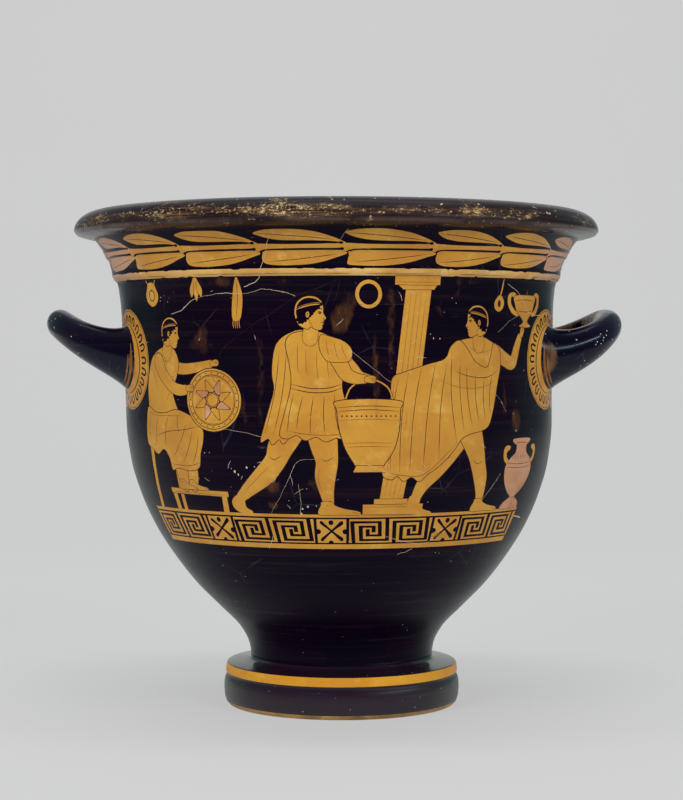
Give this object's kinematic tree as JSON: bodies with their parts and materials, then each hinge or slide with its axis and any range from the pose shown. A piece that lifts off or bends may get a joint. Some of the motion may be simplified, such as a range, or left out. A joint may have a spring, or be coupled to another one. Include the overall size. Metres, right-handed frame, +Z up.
{
  "type": "bell krater",
  "caption": "Hollow bell-shaped mixing bowl of fired clay with a rolled overhanging lip, upturned loop handles and a disc foot, red-figure painted.",
  "frame": {"origin": "on the standing plane, below the middle of the mouth", "axes": "+Z up, +X out through the right handle as seen from the picture side, -Y out of the picture side"},
  "size_m": [0.4348, 0.3944, 0.37],
  "materials": {
    "krater": "black gloss slip with reserved orange clay pictures, worn"
  },
  "bodies": {
    "root": {"krater": "krater"}
  },
  "joints": []
}
